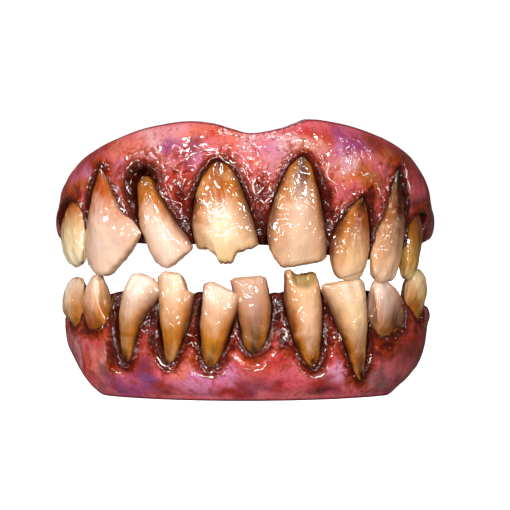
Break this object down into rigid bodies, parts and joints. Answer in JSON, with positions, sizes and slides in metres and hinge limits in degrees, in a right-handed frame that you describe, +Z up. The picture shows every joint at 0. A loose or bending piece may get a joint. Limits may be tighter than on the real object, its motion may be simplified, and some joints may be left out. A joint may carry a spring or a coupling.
{
  "type": "costume teeth, upper and lower plate",
  "caption": "Pair of decayed-looking costume teeth biting together: an upper and a lower gum arch with an open channel each, and separate stained, chipped and crooked teeth in sockets.",
  "frame": {"origin": "under the middle of the whole, on the surface that the lower gum's border rests on", "axes": "+X to the right as seen from the front, -Y the way the teeth face, +Z up from the lower plate to the upper one"},
  "size_m": [0.0602, 0.028, 0.0426],
  "materials": {
    "gum": "acrylic, mottled pink, red and purple paint under a wet-looking clear coat",
    "tooth_cream": "acrylic, cream, stained amber to brown at the neck, clear coat",
    "tooth_pink": "acrylic, pinkish beige, stained brown at the neck, clear coat",
    "tooth_amber": "acrylic, yellow cream, stained amber and brown, clear coat",
    "tooth_olive": "acrylic, olive yellow, stained brown, clear coat",
    "tooth_grey": "acrylic, grey pink, stained brown at the neck, clear coat"
  },
  "bodies": {
    "root": {"upper_gum": "gum", "lower_gum": "gum", "upper_left_premolar": "tooth_cream", "upper_left_canine": "tooth_pink", "upper_left_lateral": "tooth_cream", "upper_left_central": "tooth_amber", "upper_right_central": "tooth_pink", "upper_right_lateral": "tooth_amber", "upper_right_canine": "tooth_amber", "upper_right_premolar": "tooth_olive", "lower_left_second_premolar": "tooth_cream", "lower_left_first_premolar": "tooth_pink", "lower_left_canine": "tooth_pink", "lower_left_lateral": "tooth_cream", "lower_left_central": "tooth_cream", "lower_right_central": "tooth_grey", "lower_right_lateral": "tooth_amber", "lower_right_canine": "tooth_cream", "lower_right_first_premolar": "tooth_grey", "lower_right_second_premolar": "tooth_amber"}
  },
  "joints": []
}
